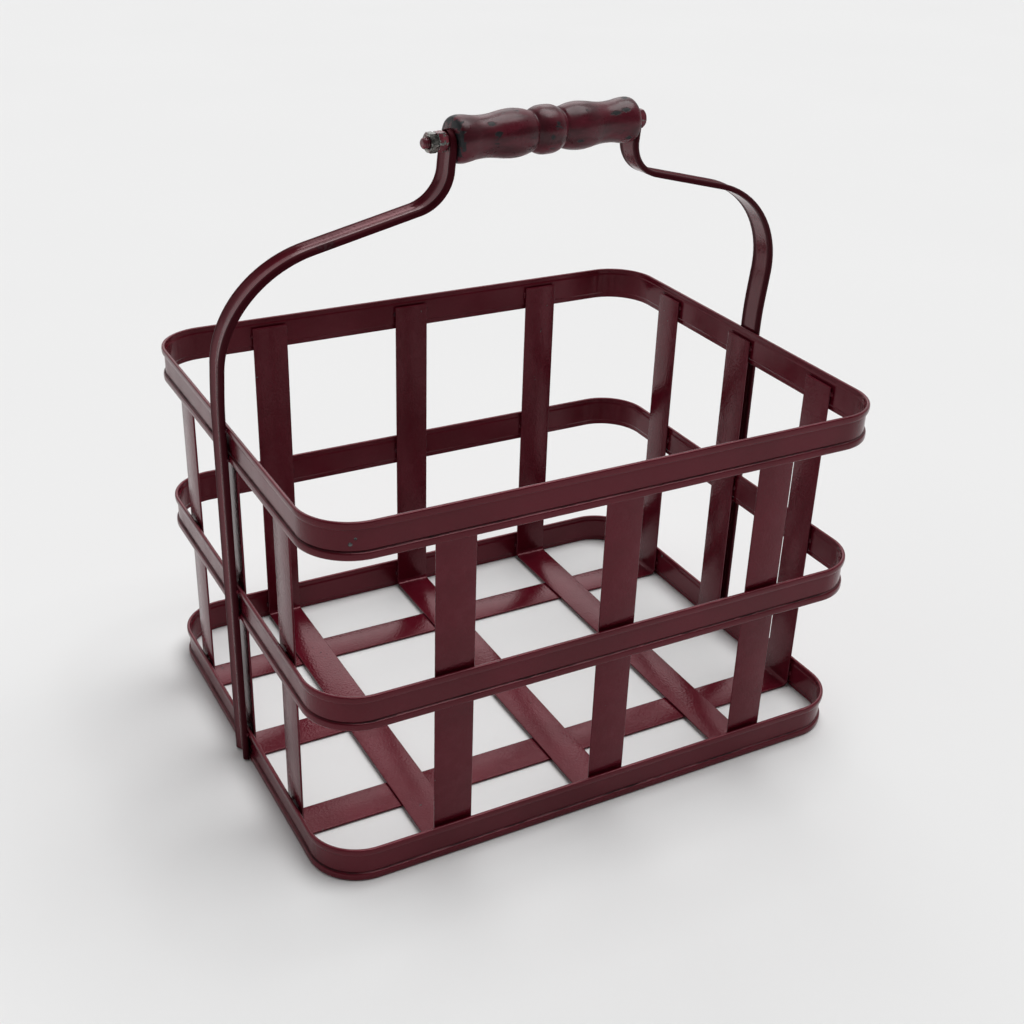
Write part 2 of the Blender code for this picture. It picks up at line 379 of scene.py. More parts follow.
def painted_steel(
    name, chips, peel=1.0, crease_shade_at=None, bead_painted_reflection=0.0, shine=SHINE, deep=PAINT_DEEP, placed=()
):
    """Gloss burgundy paint with orange peel, thin on the edges, where it has chipped to grey metal.

    crease_shade_at is the distance from the edge in mm of a broken dark line of painted shade along the
    crease, bead_painted_reflection says how much darker the arm's edge beads are painted, as painted dark
    reflection, and placed lists chips as (point, radius, stretch along X)."""
    n = Nodes(name)
    tone = n.ramp(n.noise(TONE_SCALE, 3), 0.35, 0.65)
    fine = n.ramp(n.noise(DUST_SCALE, 3, 0.6), 0.50, 0.75)
    body = n.mix(tone, deep, PAINT)
    body = n.mix(n.maths("MULTIPLY", fine, 0.07), body, PAINT_DUSTY)
    edge = n.attribute("edge_mm")
    thin = n.ramp(edge, 0.05, 0.55, 1.0, 0.0)
    worn = n.maths("MULTIPLY", thin, n.ramp(n.noise(WEAR_SCALE, 4, 0.6), 0.40, 0.75))
    body = n.mix(n.maths("MULTIPLY", worn, 0.45), body, PAINT_DUSTY)
    flecks = n.noise(FLECK_SCALE, 4, 0.62)
    near_edge = n.ramp(edge, 0.1, 1.0, 0.13, 0.0)
    chip = n.ramp(n.maths("ADD", flecks, near_edge), 0.80 - 0.04 * chips, 0.82 - 0.04 * chips)
    rare = n.ramp(n.noise(CHIPPED_AREA_SCALE, 2), 0.56, 0.66)
    chip = n.maths("MULTIPLY", chip, rare)
    if placed:
        chip = n.maths("MAXIMUM", chip, n.near(placed))
    metal = n.mix(n.ramp(n.noise(METAL_SCALE, 2), 0.4, 0.6), CHIP_DARK, CHIP_GREY)
    body = n.mix(n.maths("MINIMUM", chip, 1.0), body, metal)
    gloss = n.ramp(n.noise(GLOSS_SCALE, 4, 0.6), 0.3, 0.75, *shine)
    # Painted reflection: the arms' edge beads are painted darker, with rougher gloss and less specular,
    # standing in for the dark surroundings they reflect.
    if bead_painted_reflection:
        bead_reflection = n.maths("MULTIPLY", n.ramp(edge, 2.3, 4.6, 1.0, 0.0), bead_painted_reflection)
        body = n.mix(bead_reflection, body, PAINTED_DARK_REFLECTION)
        gloss = n.maths("ADD", gloss, n.maths("MULTIPLY", bead_reflection, 0.34))
        n.feed(n.shader.inputs["Specular IOR Level"], n.ramp(bead_reflection, 0.0, 0.8, 0.45, 0.05))
    # Painted shade: a broken dark line along the hoops' crease, with its gloss dulled.
    if crease_shade_at:
        off = n.maths("ABSOLUTE", n.maths("SUBTRACT", edge, crease_shade_at))
        wander = n.maths("MULTIPLY", n.noise(CREASE_SHADE_SCALE, 4, 0.7), 0.8)
        crease_shade = n.ramp(n.maths("ADD", off, wander), 0.46, 0.66, 1.0, 0.0)
        broken = n.ramp(n.noise(CREASE_SHADE_BREAK_SCALE, 3), 0.38, 0.62, 0.45, 1.0)
        crease_shade = n.maths("MULTIPLY", crease_shade, broken)
        body = n.mix(n.maths("MULTIPLY", crease_shade, 0.85), body, CREASE_SHADE)
        gloss = n.maths("ADD", gloss, n.maths("MULTIPLY", crease_shade, 0.5))
    gloss = n.maths("ADD", gloss, n.maths("MULTIPLY", chip, 0.3))
    wave = n.bump(n.noise(WAVE_SCALE, 2), WAVE_DEPTH, 0.4)
    skin = n.bump(n.noise(PEEL_SCALE, 2, 0.5), PEEL_DEPTH * peel, 0.5, wave)
    pits = n.bump(n.maths("SUBTRACT", 1.0, chip), CHIP_DEPTH, 0.8, skin)
    n.shader.inputs["Metallic"].default_value = PAINT_METALLIC
    if not bead_painted_reflection:
        n.shader.inputs["Specular IOR Level"].default_value = PAINT_SPECULAR
    return n.finish(body, gloss, pits)


def painted_wood(name):
    """Burgundy paint on turned wood, rubbed through to a blue-black undercoat on its crests and ends."""
    n = Nodes(name)
    along = n.mapped(WOOD_ALONG)
    tone = n.ramp(n.noise(60, 3, 0.5, along), 0.35, 0.65)
    body = n.mix(tone, GRIP_DEEP, GRIP_RED)
    dust = n.ramp(n.noise(300, 4, 0.6, along), 0.5, 0.8)
    body = n.mix(n.maths("MULTIPLY", dust, 0.22), body, GRIP_DUSTY)
    worn = n.attribute("worn")
    near_spots = n.near(GRIP_PATCHES, 1.15)
    streak = n.noise(STREAK_SCALE, 5, 0.62, along, 0.4)
    rub = n.ramp(n.maths("ADD", streak, n.maths("MULTIPLY", worn, 0.27)), 0.69, 0.74)
    rub = n.maths("MAXIMUM", rub, near_spots)
    under = n.mix(n.ramp(n.noise(260, 3), 0.45, 0.65), UNDERCOAT, UNDERCOAT_LIGHT)
    body = n.mix(rub, body, under)
    gloss = n.ramp(n.noise(130, 3), 0.3, 0.7, 0.24, 0.38)
    gloss = n.maths("ADD", gloss, n.maths("MULTIPLY", rub, 0.18))
    n.shader.inputs["Specular IOR Level"].default_value = GRIP_SPECULAR
    grain = n.bump(n.noise(GRAIN_SCALE, 3, 0.6, n.mapped(GRAIN_ALONG)), GRAIN_DEPTH, 0.45)
    skin = n.bump(n.noise(700, 2), WOOD_SKIN_DEPTH, 0.5, grain)
    sunk = n.bump(n.maths("SUBTRACT", 1.0, rub), RUB_DEPTH, 0.7, skin)
    return n.finish(body, gloss, sunk)


def painted_nut(name, bare):
    """Paint brushed over a fastener, broken along its corners where a spanner has turned it."""
    n = Nodes(name)
    tone = n.ramp(n.noise(260, 3), 0.4, 0.6)
    body = n.mix(tone, NUT_DEEP, NUT_RED)
    edge = n.attribute("edge_mm")
    rubbed = n.ramp(edge, 0.0, 1.1, 0.20, 0.0)
    chip = n.ramp(n.maths("ADD", n.noise(520, 4, 0.6), rubbed), 0.74 - 0.1 * bare, 0.78 - 0.1 * bare)
    metal = n.mix(n.ramp(n.noise(1200, 2), 0.4, 0.6), NUT_CHIP_DARK, NUT_CHIP)
    body = n.mix(chip, body, metal)
    gloss = n.ramp(n.noise(400, 3), 0.3, 0.7, 0.22, 0.42)
    skin = n.bump(n.noise(900, 2), 0.00008, 0.6)
    step = n.bump(n.maths("SUBTRACT", 1.0, chip), 0.00010, 0.8, skin)
    return n.finish(body, gloss, step, n.maths("MULTIPLY", chip, 0.8))


def bare_zinc(name):
    """Dull zinc of the lock nut, with some paint caught on it."""
    n = Nodes(name)
    tone = n.ramp(n.noise(500, 4, 0.6), 0.35, 0.7)
    body = n.mix(tone, ZINC_DARK, ZINC_LIGHT)
    stain = n.ramp(n.noise(300, 3), 0.58, 0.66)
    body = n.mix(n.maths("MULTIPLY", stain, 0.6), body, ZINC_STAIN)
    gloss = n.ramp(n.noise(700, 3), 0.3, 0.7, 0.16, 0.36)
    skin = n.bump(n.noise(1100, 3), 0.00010, 0.8)
    return n.finish(body, gloss, skin, 0.9)


# ---------------------------------------------------------------- shapes


def shade_smooth(data, angle):
    for face in data.polygons:
        face.use_smooth = True
    data.set_sharp_from_angle(angle=angle)


def loft(name, rings, loop, look, marks=None, mark_name="edge_mm", smooth_angle=0.7, placed=None):
    """A closed body through equal rings of points, with marks for the points of one ring or of every ring."""
    mesh = bmesh.new()
    layer = mesh.verts.layers.float.new(mark_name)
    made = []
    for r, ring in enumerate(rings):
        row = []
        for i, point in enumerate(ring):
            vert = mesh.verts.new(point)
            if marks is not None:
                vert[layer] = marks[r][i] if isinstance(marks[0], (list, tuple)) else marks[i]
            row.append(vert)
        made.append(row)
    pairs = list(zip(made, made[1:]))
    if loop:
        pairs.append((made[-1], made[0]))
    else:
        mesh.faces.new(made[0])
        mesh.faces.new(made[-1])
    for ring, following in pairs:
        for i in range(len(ring)):
            mesh.faces.new((ring[i - 1], ring[i], following[i], following[i - 1]))
    bmesh.ops.recalc_face_normals(mesh, faces=mesh.faces)
    data = bpy.data.meshes.new(name)
    mesh.to_mesh(data)
    mesh.free()
    data.materials.append(look)
    shade_smooth(data, smooth_angle)
    body = bpy.data.objects.new(name, data)
    bpy.context.scene.collection.objects.link(body)
    if placed:
        body.location = placed[0]
        body.rotation_euler = (0, 0, placed[1])
    return body


def ease(part):
    part = clamp(part)
    return part * part * (3 - 2 * part)


def strip_section():
    """Section of the rolled strip as (outward, across) points with edge marks.

    It has crowned lips, a soft fall to the web between them, a crease at its foot, and rounded cut edges."""

    def outward(across):
        groove = LOWER_CREASE if across < HOOP_HEIGHT / 2 else UPPER_CREASE
        across = min(across, HOOP_HEIGHT - across)
        fall = ease((across - LIP) / STEP)
        bulge = -HOOP_CROWN * (2 * min(across, LIP) / LIP - 1) ** 2 * (1 - fall)
        crease = -groove * max(0.0, 1 - abs(across - LIP - STEP) / CREASE_HALF)
        return -HOOP_RECESS * fall + bulge + crease

    def inward(across):
        across = min(across, HOOP_HEIGHT - across)
        return -HOOP_RECESS - SHEET + HOOP_INNER_STEP * (1 - ease((across - LIP + INNER_SHIFT) / STEP))

    half = [EDGE_ROUND + (LIP - EDGE_ROUND) * i / 6 for i in range(7)]
    half += [LIP + STEP * i / 8 for i in range(1, 8)]
    half += [LIP + STEP - CREASE_HALF * 0.9, LIP + STEP, LIP + STEP + CREASE_HALF]
    half = sorted(set(half))
    web_edge = LIP + STEP + CREASE_HALF
    half += [web_edge + (HOOP_HEIGHT / 2 - web_edge) * i / 4 for i in range(1, 5)]
    across = half + [HOOP_HEIGHT - a for a in half[-2::-1]]
    outer = [Vector((outward(a), a)) for a in across]
    inner = [Vector((inward(a), a)) for a in across[::-1]]
    section = outer + edge_turn(outer[-1], inner[0], 1) + inner + edge_turn(inner[-1], outer[0], -1)
    marks = [min(p.y, HOOP_HEIGHT - p.y) / MM for p in section]
    # The inner side has no groove, so its marks stop short of the painted crease shade.
    marks = [min(mark, 2.0) if i >= len(outer) else mark for i, mark in enumerate(marks)]
    return section, marks


def beaded_section():
    """Section of an arm as (outward, across) points with edge marks.

    It has a bead rolled along each edge, a soft fall to the web between them, and a flat back."""
    half = []
    for i in range(BEAD_STEPS + 1):
        angle = math.pi / 2 * i / BEAD_STEPS
        half.append((-BEAD_RISE * (1 - math.sin(angle)), BEAD_HALF * (1 - math.cos(angle))))
    for i in range(1, WEB_STEPS + 1):
        part = i / WEB_STEPS
        half.append((-ARM_RECESS * ease(part), BEAD_HALF + (BEAD_FOOT - BEAD_HALF) * part))
    half += [(-ARM_RECESS, BEAD_FOOT + (ARM_WIDTH / 2 - BEAD_FOOT) * i / 2) for i in (1, 2)]
    back = [
        (-ARM_DEPTH + EDGE_ROUND, 0.0),
        (-ARM_DEPTH + EDGE_ROUND * 0.3, EDGE_ROUND * 0.3),
        (-ARM_DEPTH, EDGE_ROUND),
    ]
    outer = half + [(out, ARM_WIDTH - across) for out, across in half[-2::-1]]
    inner = [(out, ARM_WIDTH - across) for out, across in back]
    inner += [(-ARM_DEPTH, ARM_WIDTH * i / 6) for i in (5, 4, 3, 2, 1)]
    section = [Vector(point) for point in outer + inner + back[::-1]]
    marks = [0.45 + min(p.y, ARM_WIDTH - p.y) / MM for p in section]
    return section, marks


def edge_turn(start, end, way):
    """Points of the rounded cut edge from start to end, bulging by EDGE_ROUND across the strip."""
    out = []
    for i in range(1, 5):
        angle = math.pi * i / 5
        place = start.lerp(end, (1 - math.cos(angle)) / 2)
        out.append(place + Vector((0, way * EDGE_ROUND * math.sin(angle))))
    return out


def flat_section():
    """The flat strap with rounded edges, as (inward, across) points and edge marks."""
    radius = EDGE_ROUND * 0.8
    section = []
    for cx, cy, start in (
        (SHEET - radius, STRAP_WIDTH / 2 - radius, 0),
        (radius, STRAP_WIDTH / 2 - radius, 90),
        (radius, -STRAP_WIDTH / 2 + radius, 180),
        (SHEET - radius, -STRAP_WIDTH / 2 + radius, 270),
    ):
        for i in range(4):
            angle = math.radians(start + 30 * i)
            section.append(Vector((cx + radius * math.cos(angle), cy + radius * math.sin(angle))))
    marks = [(STRAP_WIDTH / 2 - abs(p.y)) / MM for p in section]
    return section, marks


def filleted(points, radii, steps):
    points = [Vector(point) for point in points]
    line = [(points[0], (points[1] - points[0]).normalized())]
    for before, corner, after, radius in zip(points, points[1:], points[2:], radii):
        inward = (corner - before).normalized()
        onward = (after - corner).normalized()
        turn = inward.angle_signed(onward)
        start = corner - inward * radius * math.tan(abs(turn) / 2)
        side = Vector((-inward.y, inward.x)) * math.copysign(1, -turn)
        centre = start + side * radius
        for i in range(steps + 1):
            part = -turn * i / steps
            cos, sin = math.cos(part), math.sin(part)
            arm = start - centre
            place = centre + Vector((arm.x * cos - arm.y * sin, arm.x * sin + arm.y * cos))
            heading = Vector((inward.x * cos - inward.y * sin, inward.x * sin + inward.y * cos))
            line.append((place, heading))
    line.append((points[-1], line[-1][1]))
    return line


def spaced(line, most):
    out = [line[0]]
    for (start, heading), (end, turned) in zip(line, line[1:]):
        pieces = max(1, math.ceil((end - start).length / most))
        for i in range(1, pieces):
            out.append((start.lerp(end, i / pieces), heading))
        out.append((end, turned))
    return out


def hoop(name, base, look):
    section, marks = strip_section()
    spots = []
    for quarter in range(4):
        sign_x = (1, -1, -1, 1)[quarter]
        sign_y = (1, 1, -1, -1)[quarter]
        centre = Vector(
            (sign_x * (BODY_LENGTH / 2 - CORNER_RADIUS), sign_y * (BODY_WIDTH / 2 - CORNER_RADIUS), base)
        )
        for i in range(ARC_STEPS + 1):
            angle = math.pi / 2 * (quarter + i / ARC_STEPS)
            outward = Vector((math.cos(angle), math.sin(angle), 0))
            spots.append((centre + outward * CORNER_RADIUS, outward))
    rings = []
    for i, (spot, outward) in enumerate(spots):
        following, turned = spots[(i + 1) % len(spots)]
        length = (following - spot).length
        pieces = max(1, round(length / LONG_STATION))
        for k in range(pieces):
            place = spot.lerp(following, k / pieces)
            facing = outward.lerp(turned, k / pieces).normalized()
            rings.append([place + facing * p.x + UP * p.y for p in section])
    body = loft(name + "_paint", rings, True, look, marks)
    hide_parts(name)
    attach(body, "frame")


def u_strap(name, along_x, place, floor, look):
    half = (BODY_LENGTH if along_x else BODY_WIDTH) / 2 - HOOP_RECESS - SHEET - STRAP_GAP
    corners = [(-half, STRAP_TOP), (-half, floor), (half, floor), (half, STRAP_TOP)]
    section, marks = flat_section()
    rings = []
    line = spaced(filleted(corners, (STRAP_BEND, STRAP_BEND), BEND_STEPS), LONG_STATION)
    for spot, heading in line:
        inward = Vector((-heading.y, heading.x))
        ring = []
        for p in section:
            point = spot + inward * p.x
            offset = place + p.y
            ring.append((point.x, offset, point.y) if along_x else (offset, point.x, point.y))
        rings.append(ring)
    body = loft(name + "_paint", rings, False, look, marks)
    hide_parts(name)
    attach(body, "frame")


def bail_arm(name, arm, look):
    side, lean, shoulder_z, neck_x, neck_z = arm
    section, marks = beaded_section()
    outer_x = BODY_LENGTH / 2 + FIT_GAP + ARM_DEPTH
    eye_z = AXIS_Z - EYE_ROUND_DROP
    corners = [(outer_x, ARM_FOOT), (outer_x, shoulder_z), (neck_x, neck_z), (neck_x, eye_z)]
    line = spaced(filleted(corners, (SHOULDER_RADIUS, NECK_RADIUS), ARC_STEPS), STATION)
    stations = [(spot, heading, 1.0) for spot, heading in line[:-1]]
    for i in range(EYE_STEPS + 1):
        angle = math.radians(EYE_ARC * i / EYE_STEPS)
        place = Vector((neck_x, eye_z + EYE_ROUND * math.sin(angle)))
        stations.append((place, line[-1][1], math.cos(angle)))
    rings = []
    for spot, heading, width_left in stations:
        ahead = lean_at(spot.y + STATION, lean)
        behind = lean_at(spot.y - STATION, lean)
        forward = heading.y * (ahead - behind) / (2 * STATION)
        tangent = Vector((heading.x, -forward, heading.y)).normalized()
        risen = clamp((spot.y - TWIST_START) / (TWIST_END - TWIST_START))
        width_left *= 1 - NECK_TAPER * ease(risen)
        turned = Matrix.Rotation(side * TWIST * risen, 3, UP) @ Vector((heading.y, 0, -heading.x))
        across = tangent.cross(turned).normalized()
        outward = across.cross(tangent)
        centre = Vector((spot.x, ARM_Y - lean_at(spot.y, lean), spot.y))
        ring = []
        for p in section:
            point = centre + outward * p.x + across * (p.y - ARM_WIDTH / 2) * width_left
            ring.append((side * point.x, point.y, point.z))
        rings.append(ring)
    body = loft(name + "_paint", rings, False, look, marks)
    eye = [round_ring(x, SHANK + EYE_CLEARANCE, HEX_STEPS) for x in (-HALF_SPAN, HALF_SPAN)]
    cutter = loft("eye_cutter", eye, False, look, placed=(GRIP_MIDDLE, TWIST))
    bpy.context.view_layer.update()
    modifier = body.modifiers.new("eye", "BOOLEAN")
    modifier.operation = "DIFFERENCE"
    modifier.solver = "EXACT"
    modifier.object = cutter
    graph = bpy.context.evaluated_depsgraph_get()
    cut = bpy.data.meshes.new_from_object(body.evaluated_get(graph))
    body.modifiers.clear()
    body.data = cut
    bpy.data.objects.remove(cutter)
    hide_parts(name)
    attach(body, "frame")


def round_ring(x, radius, steps):
    angles = [2 * math.pi * i / steps for i in range(steps)]
    return [Vector((x, radius * math.cos(angle), radius * math.sin(angle))) for angle in angles]


def smooth_profile(points, between):
    """Catmull-Rom points through a profile."""
    out = []
    for i in range(len(points) - 1):
        p0 = Vector(points[max(0, i - 1)])
        p1 = Vector(points[i])
        p2 = Vector(points[i + 1])
        p3 = Vector(points[min(len(points) - 1, i + 2)])
        for k in range(between):
            t = k / between
            out.append(
                0.5
                * (
                    2 * p1
                    + (p2 - p0) * t
                    + (2 * p0 - 5 * p1 + 4 * p2 - p3) * t * t
                    + (3 * p1 - p0 - 3 * p2 + p3) * t**3
                )
            )
    out.append(Vector(points[-1]))
    return out


def turned_grip(look):
    half = GRIP_HALF
    right = [
        (0.0, 0.01112),
        (0.0034, 0.01088),
        (0.0062, 0.0098),
        (0.0077, 0.0087),
        (0.0092, 0.0095),
        (0.0135, 0.0106),
        (0.0181, 0.0110),
        (0.0232, 0.0106),
        (0.0282, 0.0098),
        (0.0330, 0.00945),
        (half - 0.0110, 0.0097),
        (half - 0.0075, 0.0103),
        (half - 0.0046, 0.01062),
        (half - 0.0024, 0.0105),
        (half - 0.0008, 0.0099),
        (half - 0.0001, 0.0090),
    ]
    profile = smooth_profile([(-x, r) for x, r in right[:0:-1]] + right, PROFILE_STEPS)
    steps = GRIP_STEPS
    rings = [round_ring(-half, GRIP_BORE, steps), round_ring(-half, GRIP_BORE + BORE_BEVEL, steps)]
    worn = [[0.9] * steps, [0.9] * steps]
    for p in profile:
        ring = []
        row = []
        end = clamp(1 - (half - abs(p.x)) / 0.0042)
        ball = clamp(1 - abs(p.x) / 0.006)
        crest = clamp(1 - abs(abs(p.x) - 0.0181) / 0.009)
        for i in range(steps):
            angle = 2 * math.pi * i / steps
            dent = noise.noise(Vector((p.x * 120, math.cos(angle) * 2.2, math.sin(angle) * 2.2)))
            radius = p.y + DENT * (dent - 0.4)
            ring.append(Vector((p.x, radius * math.cos(angle), radius * math.sin(angle))))
            row.append(max(end, 0.42 * ball, 0.36 * crest, 0.12))
        rings.append(ring)
        worn.append(row)
    rings += [round_ring(half, GRIP_BORE + BORE_BEVEL, steps), round_ring(half, GRIP_BORE, steps)]
    worn += [[0.9] * steps, [0.9] * steps]
    body = loft("grip_wood", rings, True, look, worn, "worn", 0.9, (GRIP_MIDDLE, TWIST))
    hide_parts("grip")
    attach(body, "grip")


def hex_ring(x, across_flats, rounding=0.0):
    """A six-sided ring of points; rounding draws its corners in towards a circle."""
    side_angle = math.pi / 3
    ring = []
    for i in range(HEX_STEPS):
        angle = 2 * math.pi * i / HEX_STEPS
        radius = across_flats / 2 / math.cos(angle % side_angle - side_angle / 2)
        limit = across_flats / 2 * (1 + (1 / math.cos(side_angle / 2) - 1) * (1 - rounding))
        radius = min(radius, limit)
        ring.append(Vector((x, radius * math.cos(angle), radius * math.sin(angle))))
    return ring


def threaded_rings(start, end, radius):
    """Rings from start to end whose radius follows a helical thread."""
    rings = []
    count = max(2, math.ceil(abs(end - start) / (THREAD_PITCH / THREAD_STEPS)))
    for k in range(count + 1):
        x = start + (end - start) * k / count
        ring = []
        for i in range(HEX_STEPS):
            angle = 2 * math.pi * i / HEX_STEPS
            turn = (x / THREAD_PITCH + i / HEX_STEPS) % 1
            r = radius - THREAD_DEPTH * abs(2 * turn - 1)
            ring.append(Vector((x, r * math.cos(angle), r * math.sin(angle))))
        rings.append(ring)
    return rings


def corner_mark(point, across_flats):
    """Distance in mm of a point on a nut's side from the nearest corner of the hexagon."""
    angle = math.atan2(point.z, point.y) % (math.pi / 3)
    return min(angle, math.pi / 3 - angle) * across_flats / 2 / MM


def fastener_marks(rings, faces_at, across_flats):
    """Marks for a nut or bolt head: small at its corners and end faces' rims."""
    rows = []
    for ring in rings:
        row = []
        for point in ring:
            rim = min(abs(point.x - x) for x in faces_at) / MM
            around = math.hypot(point.y, point.z)
            if around < across_flats * 0.42:
                row.append(2.0)
            else:
                row.append(min(rim + 0.2, corner_mark(point, across_flats) + 0.1))
        rows.append(row)
    return rows


def nut(name, inner_x, height, look):
    outer_x = inner_x - height
    rings = [round_ring(inner_x, NUT_BORE, HEX_STEPS)]
    rings.append(round_ring(inner_x, HEX_ACROSS_FLATS * 0.46, HEX_STEPS))
    for i in range(4):
        part = i / 3
        rings.append(hex_ring(inner_x - NUT_CHAMFER * part, HEX_ACROSS_FLATS, 1 - part))
    for i in range(4):
        part = 1 - i / 3
        rings.append(hex_ring(outer_x + NUT_CHAMFER * part, HEX_ACROSS_FLATS, 1 - part))
    rings.append(round_ring(outer_x, HEX_ACROSS_FLATS * 0.44, HEX_STEPS))
    rings.append(round_ring(outer_x + 0.0003, NUT_BORE + 0.0003, HEX_STEPS))
    rings.append(round_ring(outer_x + 0.0006, NUT_BORE, HEX_STEPS))
    marks = fastener_marks(rings, (inner_x, outer_x), HEX_ACROSS_FLATS)
    body = loft(name + "_body", rings, True, look, marks, "edge_mm", 0.45, (GRIP_MIDDLE, TWIST))
    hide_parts(name)
    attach(body, "frame")


def handle_bolt(tip_x, thread_from, look):
    under = HALF_SPAN + FIT_GAP
    top = under + HEAD_HEIGHT
    rings = [round_ring(top, 0.0006, HEX_STEPS)]
    for part, drop in ((0.35, 0.00004), (0.6, 0.00014), (0.8, 0.00034), (0.93, 0.00062)):
        rings.append(round_ring(top - drop, HEX_ACROSS_FLATS / 2 * part, HEX_STEPS))
    for i in range(4):
        part = i / 3
        rings.append(hex_ring(top - 0.00085 - 0.0007 * part, HEX_ACROSS_FLATS, 1 - part))
    rings.append(hex_ring(under + 0.0002, HEX_ACROSS_FLATS))
    rings.append(hex_ring(under, HEX_ACROSS_FLATS * 0.975))
    rings.append(round_ring(under, SHANK + 0.0002, HEX_STEPS))
    rings.append(round_ring(under - 0.0002, SHANK, HEX_STEPS))
    rings.append(round_ring(thread_from + 0.0002, SHANK, HEX_STEPS))
    rings += threaded_rings(thread_from, tip_x + 0.0006, SHANK)
    rings.append(round_ring(tip_x + 0.0002, SHANK - 0.0005, HEX_STEPS))
    rings.append(round_ring(tip_x, SHANK - 0.0008, HEX_STEPS))
    rings.append(round_ring(tip_x, 0.0006, HEX_STEPS))
    marks = fastener_marks(rings, (under, top), HEX_ACROSS_FLATS)
    body = loft("handle_bolt_body", rings, False, look, marks, "edge_mm", 0.5, (GRIP_MIDDLE, TWIST))
    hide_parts("handle_bolt")
    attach(body, "frame")


def bead(mesh, layer, centre, size, axes, seed):
    """One weld nugget: a low mound, longer along the seam, rippled and uneven."""
    ball = bmesh.ops.create_icosphere(mesh, subdivisions=3, radius=1.0)
    for vert in ball["verts"]:
        ripple = 1 + 0.16 * noise.noise(vert.co * 1.7 + Vector((seed, seed * 1.3, 0)))
        ripple += 0.05 * math.sin(vert.co.x * 9 + seed)
        local = Vector((vert.co.x * size[0], vert.co.y * size[1], vert.co.z * size[2])) * ripple
        vert.co = centre + axes[0] * local.x + axes[1] * local.y + axes[2] * local.z
        vert[layer] = 1.0


def welds(look):
    """Nuggets where the straps meet the hoops' webs, inside, and where the arms meet their lips, outside."""
    mesh = bmesh.new()
    layer = mesh.verts.layers.float.new("edge_mm")
    seed = 0
    for base in HOOP_BASES.values():
        height = base + HOOP_HEIGHT / 2
        for along_x, places in ((False, CROSS_STRAP_PLACES), (True, LONG_STRAP_PLACES)):
            half = (BODY_LENGTH if along_x else BODY_WIDTH) / 2 - HOOP_RECESS - SHEET
            for place in places.values():
                for end in (-1, 1):
                    for edge in (-1, 1):
                        seed += 1
                        shift = WELD_WANDER * noise.noise(Vector((seed * 3.1, 0.5, 0.2)))
                        flat = place + edge * (STRAP_WIDTH / 2 + 0.0001)
                        depth = end * (half - 0.0003)
                        centre = (
                            Vector((depth, flat, height + shift))
                            if along_x
                            else Vector((flat, depth, height + shift))
                        )
                        inward = Vector((-end, 0, 0)) if along_x else Vector((0, -end, 0))
                        side = Vector((0, edge, 0)) if along_x else Vector((edge, 0, 0))
                        long = WELD_LENGTH + WELD_UNEVEN * noise.noise(Vector((seed * 1.7, 2.0, 4.0)))
                        bead(mesh, layer, centre, (long, *WELD_THICKNESS), (UP, inward, side), seed)
    outer_x = BODY_LENGTH / 2
    for base in HOOP_BASES.values():
        for lip in (LIP / 2, HOOP_HEIGHT - LIP / 2):
            for side_sign in (-1, 1):
                for edge in (-1, 1):
                    seed += 1
                    if noise.noise(Vector((seed * 2.3, 1.0, 0.0))) < -0.25 or base + lip < 0.002:
                        continue
                    beside = ARM_Y + edge * ARM_WIDTH / 2
                    centre = Vector((side_sign * (outer_x + 0.0004), beside, base + lip))
                    axes = (UP, Vector((side_sign, 0, 0)), Vector((0, edge, 0)))
                    bead(mesh, layer, centre, ARM_WELD, axes, seed)
    data = bpy.data.meshes.new("weld_beads")
    mesh.to_mesh(data)
    mesh.free()
    data.materials.append(look)
    shade_smooth(data, 1.2)
    body = bpy.data.objects.new("weld_beads", data)
    bpy.context.scene.collection.objects.link(body)
    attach(body, "frame")


# ---------------------------------------------------------------- build


groove_mm = (LIP + STEP * 0.7) / MM
# The hoops carry a line of painted shade along their groove.
hoop_look = painted_steel("hoop_paint_look", 0.55, crease_shade_at=groove_mm, placed=HOOP_CHIPS)
strap_look = painted_steel("strap_paint_look", 0.35, peel=3.0, shine=SMOOTH_SHINE)
# The arms' edge beads carry painted dark reflection.
arm_look = painted_steel("arm_paint_look", 0.6, bead_painted_reflection=0.9, shine=ARM_SHINE, placed=ARM_CHIPS)
weld_look = painted_steel("weld_paint_look", 0.4, peel=1.6, deep=WELD_DEEP)

for hoop_name, hoop_base in HOOP_BASES.items():
    hoop(hoop_name, hoop_base, hoop_look)
for place_name, strap_x in CROSS_STRAP_PLACES.items():
    u_strap("cross_strap_" + place_name, False, strap_x, CROSS_STRAP_FLOOR, strap_look)
for place_name, strap_y in LONG_STRAP_PLACES.items():
    u_strap("long_strap_" + place_name, True, strap_y, LONG_STRAP_FLOOR, strap_look)
for arm_name, arm_shape in ARMS.items():
    bail_arm(arm_name, arm_shape, arm_look)
turned_grip(painted_wood("grip_wood_look"))
hex_inner = -HALF_SPAN - FIT_GAP
lock_inner = hex_inner - NUT_HEIGHT - FIT_GAP
lock_outer = lock_inner - LOCK_NUT_HEIGHT
nut("hex_nut", hex_inner, NUT_HEIGHT, painted_nut("hex_nut_look", 1.1))
nut("lock_nut", lock_inner, LOCK_NUT_HEIGHT, bare_zinc("lock_nut_look"))
handle_bolt(lock_outer - BOLT_STUB, hex_inner, painted_nut("handle_bolt_look", 0.15))
welds(weld_look)


# ---------------------------------------------------------------- stage, light and camera


def stage():
    bpy.ops.mesh.primitive_plane_add(size=30, location=(0, 0, -0.0002))
    floor = bpy.context.object
    floor.name = "floor"
    n = Nodes("floor_look")
    tone = n.mix(n.noise(3, 2), *FLOOR_TONES)
    n.finish(tone, 0.75, n.bump(n.noise(900, 2), 0.00002, 0.2))
    n.shader.inputs["Specular IOR Level"].default_value = 0.0
    floor.data.materials.append(n.material)


